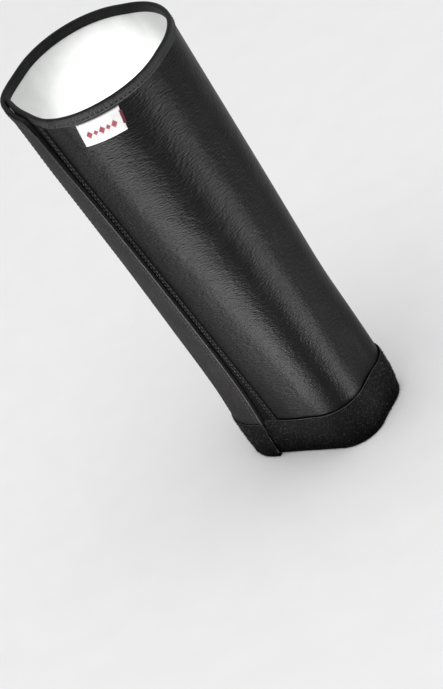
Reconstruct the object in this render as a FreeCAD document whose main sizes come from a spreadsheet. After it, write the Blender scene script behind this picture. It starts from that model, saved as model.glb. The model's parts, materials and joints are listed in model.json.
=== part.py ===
# Roll-up snoot for a camera flash: a soft laminated sheet rolled into a tube
# that changes from a rounded rectangle, which slips over the flash head, to a
# round mouth, and is held closed by a hook-and-loop flap.
#
# Frame: origin at the centre of the flash end, +Z runs to the mouth, the long
# side of the flash end lies along X, and the flap closes over the -Y face.
#
# Every level section of the tube is four straight faces joined by four round
# corners.  Sizes change evenly from the flash end to the mouth, so a place on
# the wall is named by the angle of its outward normal (0 = +X, turning
# anticlockwise) and by its offset from the middle of the foam core.
import FreeCAD, Part
import math
import os

import Sketcher

DIMENSIONS = [
    ("length", 306, "flash end to mouth"),
    ("base_half_width", 46.8, "half width of the flash end, to the core middle"),
    ("base_half_depth", 29.3, "half depth of the flash end, to the core middle"),
    ("base_corner", 19.2, "corner radius at the flash end"),
    ("mouth_half", 54.1, "half width and depth of the mouth, to the core middle"),
    ("mouth_corner", 49.1, "corner radius at the mouth"),
    ("mouth_shift_x", -12.2, "mouth centre from the flash end's centre, along X"),
    ("mouth_shift_y", -6.4, "mouth centre from the flash end's centre, along Y"),
    ("overlap_gap", 4.4, "outer leaf to inner leaf, core middle to core middle"),
    ("core_face", 0.4, "core surface from its middle"),
    ("skin_face", 1.2, "outer face of the skin"),
    ("lining_face", 0.8, "inner face of the lining, inwards"),
    ("glue_gap", 0.03, "room between two glued layers"),
    ("seam_angle", 0.3, "half the angle left free at each fold"),
    ("slot_margin", 1.0, "how far a slot's cutter runs past its wall"),
    ("slot_turn", 1.0, "how many degrees a slot's cutter starts before its wall"),
    ("hem", 0.8, "thickness of a binding across the sheet's edge"),
    ("hem_room", 0.05, "room between a binding and the sheet inside it"),
    ("binding_width", 6.5, "width of the mouth binding"),
    ("binding_outer", 1.9, "outer face of the mouth binding"),
    ("binding_inner", 1.4, "inner face of the mouth binding, inwards"),
    ("band_height", 31, "height of the loop band at the flash end"),
    ("band_outer", 2.7, "outer face of the loop band"),
    ("band_inner", 1.3, "inner face of the loop band's inner leg, inwards"),
    ("flap_mouth_angle", 262, "normal angle where the flap's curve ends at the mouth"),
    ("flap_tail_base", 6.2, "straight end of the flap at the flash end"),
    ("flap_tail_mouth", 1.6, "straight end of the flap at the mouth"),
    ("tape_start_base", 225, "normal angle where the flap's edge tape starts"),
    ("tape_start_mouth", 222.3, "the same at the mouth"),
    ("tape_outer", 1.9, "outer face of the edge tapes"),
    ("inner_tape_end", 216, "normal angle where the inner leaf's edge tape ends"),
    ("loop_outer", 2.2, "outer face of the closure's loop strip"),
    ("loop_start", 222, "normal angle where the loop strip starts"),
    ("loop_tail_base", 17.7, "straight part of the loop strip at the flash end"),
    ("loop_tail_mouth", 1.0, "straight part of the loop strip at the mouth"),
    ("hook_inner", 1.3, "inner face of the closure's hook strip, inwards"),
    ("hook_start_base", 232, "normal angle where the hook strip starts"),
    ("hook_start_mouth", 228.5, "the same at the mouth"),
    ("hook_end_base", 268, "normal angle where the hook strip ends"),
    ("hook_end_mouth", 260, "the same at the mouth"),
    ("hook_margin", 5, "hook strip's end from the sheet's end"),
    ("label_start", 282, "normal angle where the label starts"),
    ("label_end", 312, "normal angle where the label ends"),
    ("label_height", 17, "height of the label"),
    ("label_gap", 0.3, "label below the mouth binding"),
    ("label_outer", 1.7, "outer face of the label"),
    ("tack_start", 312.6, "normal angle where the label's bar tack starts"),
    ("tack_end", 315.2, "normal angle where the bar tack ends"),
    ("tack_height", 9, "height of the bar tack"),
    ("tack_outer", 2.1, "outer face of the bar tack"),
    ("stay_half_width", 3.5, "half width of a metal stay"),
    ("stay_margin", 20, "a stay's end from the sheet's end"),
    ("stay_inner", 0.2, "inner face of a stay, inwards"),
    ("stay_outer", 0.33, "outer face of a stay"),
    ("stay_room", 0.3, "room beside a stay in its slot"),
    ("fold_right_back", 22.5, "fold between right and back_right"),
    ("fold_back_start", 67.5, "fold between back_right and back"),
    ("fold_back_end", 112.5, "fold between back and back_left"),
    ("fold_left", 157.5, "fold between back_left and left"),
    ("fold_flap", 202.5, "fold between left and flap, and the inner leaf's edge"),
    ("fold_inner", 247.5, "fold between inner_end and front"),
    ("fold_front", 280, "fold between front and front_right"),
    ("fold_right_front", 325, "fold between front_right and right"),
]


class Size:
    """A size as a number and as the spreadsheet expression that gives it."""

    def __init__(self, value, text):
        self.value = value
        self.text = text

    def __add__(self, other):
        return Size(self.value + other.value, f"({self.text} + {other.text})")

    def __sub__(self, other):
        return Size(self.value - other.value, f"({self.text} - {other.text})")

    def __mul__(self, other):
        return Size(self.value * other.value, f"{self.text} * {other.text}")

    def __truediv__(self, other):
        return Size(self.value / other.value, f"{self.text} / {other.text}")

    def __neg__(self):
        return Size(-self.value, f"(-1 * {self.text})")


class Dimensions:
    """Gives every aliased cell of the sheet as a Size: dims.length and so on."""

    def __init__(self, sheet):
        for alias, value, note in DIMENSIONS:
            setattr(self, alias, Size(float(value), f"{sheet.Name}.{alias}"))


def make_sheet(doc):
    sheet = doc.addObject("Spreadsheet::Sheet", "dimensions")
    for row, (alias, value, note) in enumerate(DIMENSIONS, start=1):
        sheet.set(f"A{row}", alias)
        sheet.set(f"B{row}", str(value))
        sheet.set(f"C{row}", note)
        sheet.setAlias(f"B{row}", alias)
    doc.recompute()
    return sheet


doc = FreeCAD.newDocument("snoot")
dims = Dimensions(make_sheet(doc))
ZERO = Size(0.0, "0")
RIGHT, BACK, LEFT, FRONT = [Size(float(turn), str(turn)) for turn in (0, 90, 180, 270)]
QUARTER_TURN = BACK
FULL_TURN = Size(360.0, "360")


class Arc:
    """Round stretch of a wall about one corner, between two normal angles."""

    def __init__(self, corner, start, end):
        self.corner = corner
        self.start = start
        self.end = end


class Flat:
    """Straight stretch between two arcs."""


class Tail:
    """Straight stretch that runs on from an arc's end for a given length."""

    def __init__(self, length):
        self.length = length


def at_height(base, mouth, height):
    return base + (mouth - base) * (height / dims.length)


def corner_at(corner, height):
    """Centre and core radius of a corner at a height."""
    half_width = at_height(dims.base_half_width, dims.mouth_half, height)
    half_depth = at_height(dims.base_half_depth, dims.mouth_half, height)
    radius = at_height(dims.base_corner, dims.mouth_corner, height)
    shift_x = at_height(ZERO, dims.mouth_shift_x, height)
    shift_y = at_height(ZERO, dims.mouth_shift_y, height)
    reach_x = half_width - radius
    reach_y = half_depth - radius
    y = shift_y + reach_y if corner.startswith("back") else shift_y - reach_y
    if corner.endswith("right"):
        return shift_x + reach_x, y, radius
    if corner == "back_left":
        return shift_x - reach_x, y, radius
    # The two leaves turn the front left corner about one centre.
    x = shift_x - reach_x + dims.overlap_gap
    if corner == "front_left_outer":
        return x, y, radius + dims.overlap_gap
    return x, y, radius


def bind(sketch, kind, arguments, size):
    """Adds a dimension to a sketch and binds it to the spreadsheet."""
    value = math.radians(size.value) if kind == "Angle" else size.value
    index = sketch.addConstraint(Sketcher.Constraint(kind, *arguments, value))
    sketch.setExpression(f"Constraints[{index}]", size.text)


def join(sketch, first, first_end, second, second_end):
    sketch.addConstraint(Sketcher.Constraint("Coincident", first, first_end, second, second_end))


def point_on(centre_x, centre_y, radius, degrees):
    turn = math.radians(degrees)
    return FreeCAD.Vector(centre_x + radius * math.cos(turn), centre_y + radius * math.sin(turn), 0)


START, END, CENTRE = 1, 2, 3
ORIGIN = (-1, 1)


def level_sketch(body, name, height):
    """An empty sketch parallel to the body's XY plane at a height."""
    sketch = body.newObject("Sketcher::SketchObject", name)
    plane = [item for item in body.Origin.OriginFeatures if item.Role == "XY_Plane"][0]
    sketch.AttachmentSupport = [(plane, "")]
    sketch.MapMode = "FlatFace"
    sketch.AttachmentOffset = FreeCAD.Placement(FreeCAD.Vector(0, 0, height.value), FreeCAD.Rotation())
    sketch.setExpression(".AttachmentOffset.Base.z", height.text)
    return sketch


def wall_sketch(body, name, height, path, inner, outer):
    """One closed wall section: a path of arcs and straights between two offsets."""
    sketch = level_sketch(body, name, height)
    outer_side = wall_side(sketch, height, path, outer, None)
    inner_side = wall_side(sketch, height, path, inner, outer_side)
    close_end(sketch, path[0], outer_side[0], inner_side[0], START)
    close_end(sketch, path[-1], outer_side[-1], inner_side[-1], END)
    return sketch


def wall_side(sketch, height, path, offset, partner):
    """Draws the path at one offset, and returns each stretch's geometry index."""
    places = []
    for item in path:
        if isinstance(item, Arc):
            x, y, radius = corner_at(item.corner, height)
            places.append((x, y, radius + offset))
        else:
            places.append(None)
    indices = []
    for number, item in enumerate(path):
        if isinstance(item, Arc):
            indices.append(draw_arc(sketch, item, places[number], partner and partner[number]))
        else:
            indices.append(None)
    for number, item in enumerate(path):
        if isinstance(item, Flat):
            before, after = path[number - 1], path[number + 1]
            start = point_on(*plain(places[number - 1]), before.end.value)
            end = point_on(*plain(places[number + 1]), after.start.value)
            line = sketch.addGeometry(Part.LineSegment(start, end), False)
            join(sketch, indices[number - 1], END, line, START)
            join(sketch, line, END, indices[number + 1], START)
            square_up(sketch, indices[number - 1], END, before.end)
            square_up(sketch, indices[number + 1], START, after.start)
            indices[number] = line
        if isinstance(item, Tail):
            before = path[number - 1]
            start = point_on(*plain(places[number - 1]), before.end.value)
            along = point_on(0, 0, item.length.value, before.end.value + 90)
            line = sketch.addGeometry(Part.LineSegment(start, start + along), False)
            sketch.addConstraint(Sketcher.Constraint("Tangent", indices[number - 1], END, line, START))
            bind(sketch, "Angle", (line,), before.end + QUARTER_TURN)
            if partner is None:
                bind(sketch, "Distance", (line,), item.length)
            indices[number] = line
    return indices


def plain(place):
    return [size.value for size in place]


def draw_arc(sketch, arc, place, partner):
    x, y, radius = place
    circle = Part.Circle(FreeCAD.Vector(x.value, y.value, 0), FreeCAD.Vector(0, 0, 1), radius.value)
    start = math.radians(arc.start.value)
    end = math.radians(arc.end.value)
    index = sketch.addGeometry(Part.ArcOfCircle(circle, start, end), False)
    if partner is None:
        bind(sketch, "DistanceX", (*ORIGIN, index, CENTRE), x)
        bind(sketch, "DistanceY", (*ORIGIN, index, CENTRE), y)
    else:
        join(sketch, index, CENTRE, partner, CENTRE)
    bind(sketch, "Radius", (index,), radius)
    return index


def square_up(sketch, arc, arc_end, angle):
    """Holds an arc's end straight beside, above or below its centre."""
    kind = "Horizontal" if round(angle.value) % 180 == 0 else "Vertical"
    sketch.addConstraint(Sketcher.Constraint(kind, arc, CENTRE, arc, arc_end))


def end_point(sketch, index, which):
    return sketch.Geometry[index].StartPoint if which == START else sketch.Geometry[index].EndPoint


def close_end(sketch, item, outer, inner, which):
    """Joins the outer and inner sides at one end of the wall."""
    line = Part.LineSegment(end_point(sketch, inner, which), end_point(sketch, outer, which))
    cap = sketch.addGeometry(line, False)
    join(sketch, cap, START, inner, which)
    join(sketch, cap, END, outer, which)
    if isinstance(item, Tail):
        sketch.addConstraint(Sketcher.Constraint("Perpendicular", cap, outer))
    else:
        bind(sketch, "Angle", (cap,), item.start if which == START else item.end)
        sketch.addConstraint(Sketcher.Constraint("PointOnObject", outer, CENTRE, cap))


def strip_sketch(body, name, height, side, half_width, inner, outer):
    """A rectangle in the middle of a straight face, between two offsets."""
    sketch = level_sketch(body, name, height)
    shift_x = at_height(ZERO, dims.mouth_shift_x, height)
    shift_y = at_height(ZERO, dims.mouth_shift_y, height)
    if side == "back":
        face = shift_y + at_height(dims.base_half_depth, dims.mouth_half, height)
        limits_x = (shift_x - half_width, shift_x + half_width)
        limits_y = (face + inner, face + outer)
    else:
        half = at_height(dims.base_half_width, dims.mouth_half, height)
        right = side == "right"
        face = shift_x + half if right else shift_x - half
        limits_x = (face + inner, face + outer) if right else (face - outer, face - inner)
        limits_y = (shift_y - half_width, shift_y + half_width)
    low = FreeCAD.Vector(limits_x[0].value, limits_y[0].value, 0)
    high = FreeCAD.Vector(limits_x[1].value, limits_y[1].value, 0)
    corners = [low, FreeCAD.Vector(high.x, low.y, 0), high, FreeCAD.Vector(low.x, high.y, 0)]
    lines = []
    for number in range(4):
        segment = Part.LineSegment(corners[number], corners[(number + 1) % 4])
        lines.append(sketch.addGeometry(segment, False))
    for number in range(4):
        join(sketch, lines[number], END, lines[(number + 1) % 4], START)
        kind = "Horizontal" if number % 2 == 0 else "Vertical"
        sketch.addConstraint(Sketcher.Constraint(kind, lines[number]))
    bind(sketch, "DistanceX", (*ORIGIN, lines[0], START), limits_x[0])
    bind(sketch, "DistanceY", (*ORIGIN, lines[0], START), limits_y[0])
    bind(sketch, "DistanceX", (*ORIGIN, lines[2], START), limits_x[1])
    bind(sketch, "DistanceY", (*ORIGIN, lines[2], START), limits_y[1])
    return sketch


def loft(body, kind, name, low, high):
    """A ruled loft between two level sketches."""
    feature = body.newObject(f"PartDesign::{kind}", name)
    feature.Profile = low
    feature.Sections = [high]
    feature.Ruled = True
    low.Visibility = False
    high.Visibility = False
    return feature


def new_body(name):
    body = doc.addObject("PartDesign::Body", name)
    body.Label = name
    bodies.append(body)
    return body


def wall(name, low, high, paths, inner, outer):
    """A plain layer: paths gives its course at the low and at the high end."""
    body = new_body(name)
    first = wall_sketch(body, f"{name}_low", low, paths[0], inner, outer)
    last = wall_sketch(body, f"{name}_high", high, paths[1], inner, outer)
    loft(body, "AdditiveLoft", f"{name}_loft", first, last)
    return body


def cut_wall(body, name, low, high, paths, inner, outer):
    first = wall_sketch(body, f"{name}_low", low, paths[0], inner, outer)
    last = wall_sketch(body, f"{name}_high", high, paths[1], inner, outer)
    loft(body, "SubtractiveLoft", name, first, last)


def flap_end(height):
    """Where the flap's curve ends, and the straight end after it."""
    angle = at_height(FRONT, dims.flap_mouth_angle, height)
    tail = at_height(dims.flap_tail_base, dims.flap_tail_mouth, height)
    return angle, tail


def panel_path(panel, height, margin, hem):
    """The course of one panel at a height.

    margin is the angle left free at each fold, and hem shortens a free edge."""
    d = dims
    if panel == "right":
        return [
            Arc("front_right", d.fold_right_front + margin, FULL_TURN),
            Flat(),
            Arc("back_right", RIGHT, d.fold_right_back - margin),
        ]
    if panel == "back_right":
        return [Arc("back_right", d.fold_right_back + margin, d.fold_back_start - margin)]
    if panel == "back":
        return [
            Arc("back_right", d.fold_back_start + margin, BACK),
            Flat(),
            Arc("back_left", BACK, d.fold_back_end - margin),
        ]
    if panel == "back_left":
        return [Arc("back_left", d.fold_back_end + margin, d.fold_left - margin)]
    if panel == "left":
        return [
            Arc("back_left", d.fold_left + margin, LEFT),
            Flat(),
            Arc("front_left_outer", LEFT, d.fold_flap - margin),
        ]
    if panel == "flap":
        angle, tail = flap_end(height)
        return [Arc("front_left_outer", d.fold_flap + margin, angle), Tail(tail - hem)]
    if panel == "front_right":
        return [Arc("front_right", d.fold_front + margin, d.fold_right_front - margin)]
    if panel == "front":
        return [
            Arc("front_left_inner", d.fold_inner + margin, FRONT),
            Flat(),
            Arc("front_right", FRONT, d.fold_front - margin),
        ]
    return [Arc("front_left_inner", d.fold_flap + margin, d.fold_inner - margin)]


PANELS = ["right", "back_right", "back", "back_left", "left", "flap", "front_right", "front", "inner_end"]
STAYED_PANELS = ["right", "back", "left"]


def panel_paths(panel, low, high, margin, hem=ZERO):
    return panel_path(panel, low, margin, hem), panel_path(panel, high, margin, hem)


def sheet_layer(layer, panel, inner, outer):
    """Skin, core or lining of one panel, between the two hems."""
    low = dims.hem
    high = dims.length - dims.hem
    paths = panel_paths(panel, low, high, dims.seam_angle, dims.hem)
    return wall(f"{layer}_{panel}", low, high, paths, inner, outer)


def stay_slot(body, side):
    low = dims.stay_margin - dims.stay_room
    high = dims.length - low
    half_width = dims.stay_half_width + dims.stay_room
    inner = -dims.stay_inner - dims.glue_gap
    outer = dims.core_face + dims.slot_margin
    first = strip_sketch(body, f"slot_{side}_low", low, side, half_width, inner, outer)
    last = strip_sketch(body, f"slot_{side}_high", high, side, half_width, inner, outer)
    loft(body, "SubtractiveLoft", f"slot_{side}", first, last)


def stay(side):
    name = f"stay_{side}"
    body = new_body(name)
    low = dims.stay_margin
    high = dims.length - dims.stay_margin
    limits = (-dims.stay_inner, dims.stay_outer)
    first = strip_sketch(body, f"{name}_low", low, side, dims.stay_half_width, *limits)
    last = strip_sketch(body, f"{name}_high", high, side, dims.stay_half_width, *limits)
    loft(body, "AdditiveLoft", f"{name}_loft", first, last)


def mouth_binding(panel):
    """Folded tape over the sheet's edge at the mouth."""
    name = f"mouth_binding_{panel}"
    low = dims.length - dims.binding_width
    high = dims.length
    paths = panel_paths(panel, low, high, dims.seam_angle)
    body = wall(name, low, high, paths, -dims.binding_inner, dims.binding_outer)
    slot_low = low - dims.slot_margin
    slot_high = high - dims.hem + dims.hem_room
    paths = panel_paths(panel, slot_low, slot_high, -dims.seam_angle, dims.hem - dims.hem_room)
    inner = -dims.lining_face - dims.hem_room
    cut_wall(body, f"{name}_slot", slot_low, slot_high, paths, inner, dims.skin_face + dims.hem_room)


def base_band(panel):
    """Loop band round the flash end.

    It folds under the sheet's edge, and has an inner leg except on the flap."""
    name = f"base_band_{panel}"
    paths = panel_paths(panel, ZERO, dims.band_height, dims.seam_angle)
    on_flap = panel == "flap"
    inner = -dims.lining_face if on_flap else -dims.band_inner
    body = wall(name, ZERO, dims.band_height, paths, inner, dims.band_outer)
    slot_low = dims.hem - dims.hem_room
    slot_high = dims.band_height + dims.slot_margin
    paths = panel_paths(panel, slot_low, slot_high, -dims.seam_angle, dims.hem - dims.hem_room)
    inner = -dims.lining_face - (dims.slot_margin if on_flap else dims.hem_room)
    cut_wall(body, f"{name}_slot", slot_low, slot_high, paths, inner, dims.skin_face + dims.hem_room)


def flap_path(start_base, start_mouth, height, hem):
    angle, tail = flap_end(height)
    start = at_height(start_base, start_mouth, height)
    return [Arc("front_left_outer", start, angle), Tail(tail - hem)]


def flap_edge_tape():
    """Wide tape on the flap's outer face, folded over its free edge."""
    name = "flap_edge_tape"
    low = dims.band_height + dims.hem_room
    high = dims.length - dims.binding_width - dims.hem_room
    starts = (dims.tape_start_base, dims.tape_start_mouth)
    paths = [flap_path(*starts, height, ZERO) for height in (low, high)]
    body = wall(name, low, high, paths, -dims.lining_face, dims.tape_outer)
    slot_low = low - dims.slot_margin
    slot_high = high + dims.slot_margin
    slot_starts = [start - dims.slot_turn for start in starts]
    slot_hem = dims.hem - dims.hem_room
    paths = [flap_path(*slot_starts, height, slot_hem) for height in (slot_low, slot_high)]
    inner = -dims.lining_face - dims.slot_margin
    cut_wall(body, f"{name}_slot", slot_low, slot_high, paths, inner, dims.skin_face + dims.hem_room)


def inner_edge_tape():
    """Narrow tape on the outer face of the inner leaf, along its free edge."""
    low = dims.band_height + dims.hem_room
    high = dims.length - dims.binding_width - dims.hem_room
    path = [Arc("front_left_inner", dims.fold_flap + dims.seam_angle, dims.inner_tape_end)]
    wall("inner_edge_tape", low, high, (path, path), dims.skin_face + dims.glue_gap, dims.tape_outer)


def loop_strips():
    """Loop strip of the closure, in two lengths that meet at the fold."""
    low = dims.band_height + dims.hem_room
    high = dims.length - dims.binding_width - dims.hem_room
    inner = dims.skin_face + dims.glue_gap
    path = [Arc("front_left_inner", dims.loop_start, dims.fold_inner - dims.seam_angle)]
    wall("closure_loop_strip_inner", low, high, (path, path), inner, dims.loop_outer)
    paths = []
    for height in (low, high):
        tail = at_height(dims.loop_tail_base, dims.loop_tail_mouth, height)
        start = dims.fold_inner + dims.seam_angle
        paths.append([Arc("front_left_inner", start, FRONT), Tail(tail)])
    wall("closure_loop_strip_front", low, high, paths, inner, dims.loop_outer)


def hook_strip():
    """Hook strip on the flap's inner face."""
    low = dims.hook_margin
    high = dims.length - dims.binding_width - dims.hook_margin
    paths = []
    for height in (low, high):
        start = at_height(dims.hook_start_base, dims.hook_start_mouth, height)
        end = at_height(dims.hook_end_base, dims.hook_end_mouth, height)
        paths.append([Arc("front_left_outer", start, end)])
    outer = -dims.lining_face - dims.hem_room - dims.hem_room
    wall("closure_hook_strip", low, high, paths, -dims.hook_inner, outer)


def label():
    """Woven label under the mouth binding, and the bar tack at its end."""
    high = dims.length - dims.binding_width - dims.label_gap
    inner = dims.skin_face + dims.glue_gap
    path = [Arc("front_right", dims.label_start, dims.label_end)]
    wall("label", high - dims.label_height, high, (path, path), inner, dims.label_outer)
    path = [Arc("front_right", dims.tack_start, dims.tack_end)]
    wall("label_bar_tack", high - dims.tack_height, high, (path, path), inner, dims.tack_outer)


def check_and_export():
    doc.recompute()
    for item in doc.Objects:
        if {"Invalid", "Error"} & set(item.State):
            raise RuntimeError(f"{item.Name} failed: {item.State}")
    for body in bodies:
        if body.Shape.isNull() or not body.Shape.isValid():
            raise RuntimeError(f"{body.Label} has no valid shape")
    for body in bodies:
        body.Shape.exportStep(f"parts/{body.Label}.step")
        print(f"{body.Label}: {len(body.Shape.Solids)} solid, {body.Shape.Volume:.0f} mm3")


bodies = []
for panel_name in PANELS:
    sheet_layer("skin", panel_name, dims.core_face + dims.glue_gap, dims.skin_face)
    core = sheet_layer("core", panel_name, -dims.core_face, dims.core_face)
    if panel_name in STAYED_PANELS:
        stay_slot(core, panel_name)
        stay(panel_name)
    sheet_layer("lining", panel_name, -dims.lining_face, -dims.core_face - dims.glue_gap)
    mouth_binding(panel_name)
    base_band(panel_name)
flap_edge_tape()
inner_edge_tape()
loop_strips()
hook_strip()
label()
os.makedirs("parts", exist_ok=True)
check_and_export()
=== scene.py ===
import bisect
import json
import math
import random

import bpy
from mathutils import Matrix, Vector, noise

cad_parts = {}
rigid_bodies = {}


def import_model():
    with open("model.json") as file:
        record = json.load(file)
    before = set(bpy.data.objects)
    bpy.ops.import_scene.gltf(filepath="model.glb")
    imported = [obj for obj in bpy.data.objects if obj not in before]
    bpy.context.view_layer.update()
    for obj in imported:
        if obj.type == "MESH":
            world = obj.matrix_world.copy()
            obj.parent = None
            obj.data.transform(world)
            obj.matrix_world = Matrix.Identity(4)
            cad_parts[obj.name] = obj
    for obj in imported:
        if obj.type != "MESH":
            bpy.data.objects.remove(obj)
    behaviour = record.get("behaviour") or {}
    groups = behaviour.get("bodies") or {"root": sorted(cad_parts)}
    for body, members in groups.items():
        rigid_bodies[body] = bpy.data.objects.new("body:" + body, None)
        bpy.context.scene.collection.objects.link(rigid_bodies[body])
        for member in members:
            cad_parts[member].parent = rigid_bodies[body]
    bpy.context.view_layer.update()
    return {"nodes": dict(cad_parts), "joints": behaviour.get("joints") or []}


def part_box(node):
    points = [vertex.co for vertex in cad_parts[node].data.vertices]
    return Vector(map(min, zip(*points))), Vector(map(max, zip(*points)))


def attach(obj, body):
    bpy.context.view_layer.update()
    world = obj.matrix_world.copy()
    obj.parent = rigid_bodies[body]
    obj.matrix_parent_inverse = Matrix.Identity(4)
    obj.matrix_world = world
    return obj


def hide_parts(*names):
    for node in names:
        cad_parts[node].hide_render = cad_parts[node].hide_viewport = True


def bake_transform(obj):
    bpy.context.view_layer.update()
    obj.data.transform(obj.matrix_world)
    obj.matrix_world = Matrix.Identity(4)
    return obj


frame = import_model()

# ---- Sizes, in metres ----
# The wall is named as in the CAD model: by the angle of its outward normal in
# degrees (0 = +X, anticlockwise), by the height above the flash end, and by the
# offset from the middle of the foam core.
MM = 0.001
SKIN_FACE = 1.2 * MM
SKIN_BACK = 0.45 * MM
LINING_BACK = -0.45 * MM
LINING_FACE = -0.8 * MM
HEM = 0.8 * MM
BINDING_FACE = 1.9 * MM
BINDING_INNER = 1.4 * MM
BAND_FACE = 2.7 * MM
BAND_INNER = 1.3 * MM
OVERLAP_GAP = 4.4 * MM
BASE_CORNER = 19.2 * MM
MOUTH_FLAT = 5 * MM
TAPE_WIDTH = 27 * MM
LABEL_SPAN = (282.4, 315.3)
LABEL_LEAN = 4.5
LABEL_WIDTH = 29 * MM
LABEL_FACE = 1.75 * MM
FIBRES_PER_MM2 = 1.1
FIBRE_RADIUS = 0.075 * MM


def highest(node):
    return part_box(node)[1]


def lowest(node):
    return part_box(node)[0]


LENGTH = highest("mouth_binding_back").z
BINDING_WIDTH = LENGTH - lowest("mouth_binding_back").z
BINDING_LOW = LENGTH - BINDING_WIDTH
LABEL_HEIGHT = highest("label").z - lowest("label").z
BAND_HEIGHT = highest("base_band_back").z
MOUTH_HALF = (highest("mouth_binding_right").x - lowest("mouth_binding_left").x) / 2 - BINDING_FACE
LEAN_X = (highest("mouth_binding_right").x + lowest("mouth_binding_left").x) / 2
LEAN_Y = (highest("mouth_binding_back").y + lowest("mouth_binding_front").y) / 2
MOUTH_CORNER = MOUTH_HALF - MOUTH_FLAT
BASE_HALF_WIDTH = highest("base_band_right").x - BAND_FACE
BAND_SHARE = BAND_HEIGHT / LENGTH
BASE_HALF_DEPTH = (
    highest("base_band_back").y - BAND_FACE - BAND_SHARE * (LEAN_Y + MOUTH_HALF)
) / (1 - BAND_SHARE)

FIRST_FOLD = 202.5
FRONT_TURN = 270.0
FLAP_EDGE_X = -14.5 * MM
FLAP_EDGE_HEIGHT = 0.35
FLAP_EDGE_BASE_BACK = 5.5 * MM
FLAP_EDGE_MOUTH_BACK = 8 * MM
FLAP_EDGE_CURL = 10.5 * MM
FLAP_DIP = 2 * MM
FLAP_CORNER = 4 * MM
FLAP_LAYER_INSET = 2.5 * MM
FLAP_PRESS = 0.9 * MM
LOOP_EDGE_BASE_X = -4.7 * MM
LOOP_EDGE_LEAN = -0.042
LOOP_EDGE_CURL = 3 * MM
INNER_END_PRESS = 0.9 * MM

# Where the soft sheet sits in (-) or out (+) of its drawn shape: the amount, the
# angle of its middle, how far it reaches to each side, and the heights where it
# starts and where it is whole.
SETTLED = (
    (-2.8 * MM, 228, 42, 12 * MM, 67 * MM),
    (3.4 * MM, 33, 33, 117 * MM, 22 * MM),
    (-1.8 * MM, 33, 33, 16 * MM, 0),
    (1.0 * MM, 283, 30, 0, 40 * MM),
    (-2.6 * MM, 248, 28, 256 * MM, 306 * MM),
    (2.1 * MM, 208, 22, 256 * MM, 306 * MM),
)


def mix(a, b, share):
    return a + (b - a) * share


def smooth(share):
    share = min(max(share, 0.0), 1.0)
    return share * share * (3 - 2 * share)


def corner_at(corner, height):
    """Centre and core radius of one corner of the section at a height."""
    share = height / LENGTH
    radius = mix(BASE_CORNER, MOUTH_CORNER, share)
    reach_x = mix(BASE_HALF_WIDTH, MOUTH_HALF, share) - radius
    reach_y = mix(BASE_HALF_DEPTH, MOUTH_HALF, share) - radius
    side_x = 1 if corner.endswith("right") else -1
    side_y = 1 if corner.startswith("back") else -1
    x = LEAN_X * share + side_x * reach_x
    y = LEAN_Y * share + side_y * reach_y
    if corner.startswith("front_left"):
        x += OVERLAP_GAP
    if corner == "front_left_outer":
        radius += OVERLAP_GAP
    return x, y, radius


def direction(degrees):
    turn = math.radians(degrees)
    return Vector((math.cos(turn), math.sin(turn), 0))


def hump(angle, middle, reach):
    """1 at a middle angle, falling smoothly to 0 at a reach on either side."""
    away = abs((angle - middle + 180) % 360 - 180) / reach
    return 0.0 if away >= 1 else (1 + math.cos(math.pi * away)) / 2


def settle(point):
    """How the soft sheet sits away from its drawn shape, the same for all layers."""
    share = point.z / LENGTH
    out = Vector((point.x - LEAN_X * share, point.y - LEAN_Y * share, 0))
    angle = math.degrees(math.atan2(out.y, out.x)) % 360
    total = 0.0
    for amount, middle, reach, start, whole in SETTLED:
        total += amount * hump(angle, middle, reach) * smooth((point.z - start) / (whole - start))
    return out.normalized() * total


def ripple(point):
    """The sheet's slight unevenness, the same for all its layers."""
    slow = noise.noise(Vector((point.x * 22, point.y * 22, point.z * 9)))
    quick = noise.noise(Vector((point.x * 60, point.y * 60 + 5, point.z * 30)))
    return 0.3 * MM * slow + 0.07 * MM * quick


class Arc:
    """A place on a round corner."""

    def __init__(self, corner, angle):
        self.corner = corner
        self.angle = angle

    def core(self, height):
        x, y, radius = corner_at(self.corner, height)
        if self.corner == "front_left_inner":
            radius += INNER_END_PRESS * (1 - smooth((self.angle - FIRST_FOLD) / 12)) * (height / LENGTH) ** 2
        normal = direction(self.angle)
        return Vector((x, y, height)) + normal * radius, normal


class Flat:
    """A place on a straight face, by its share of the way from one corner to the next."""

    def __init__(self, start, end, angle, share):
        self.ends = (Arc(start, angle), Arc(end, angle))
        self.share = share

    def core(self, height):
        first, normal = self.ends[0].core(height)
        last, normal = self.ends[1].core(height)
        return mix(first, last, self.share), normal


def leaf_point(corner, run, height):
    """A place on a leaf of the overlap, by its distance from the first fold."""
    x, y, radius = corner_at(corner, height)
    curve = radius * math.radians(FRONT_TURN - FIRST_FOLD)
    angle = FIRST_FOLD + math.degrees(min(run, curve) / radius)
    normal = direction(angle)
    point = Vector((x, y, height)) + normal * radius
    if run > curve:
        point.x += run - curve
    return point, normal


def run_to_x(corner, x_wanted, height):
    """The distance from the first fold at which a leaf reaches an x."""
    x, _, radius = corner_at(corner, height)
    curve = radius * math.radians(FRONT_TURN - FIRST_FOLD)
    if x_wanted >= x:
        return curve + x_wanted - x
    return curve - radius * math.asin((x - x_wanted) / radius)


def flap_width(height):
    """The flap's width from its fold to its free edge, least at the two ends."""
    share = height / LENGTH
    if share < FLAP_EDGE_HEIGHT:
        back = FLAP_EDGE_BASE_BACK * (1 - share / FLAP_EDGE_HEIGHT) ** 2
    else:
        above = (share - FLAP_EDGE_HEIGHT) / (1 - FLAP_EDGE_HEIGHT)
        back = FLAP_EDGE_MOUTH_BACK * above ** 1.6 + FLAP_EDGE_CURL * above ** 7
    return run_to_x("front_left_outer", FLAP_EDGE_X - back, height)


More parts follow.
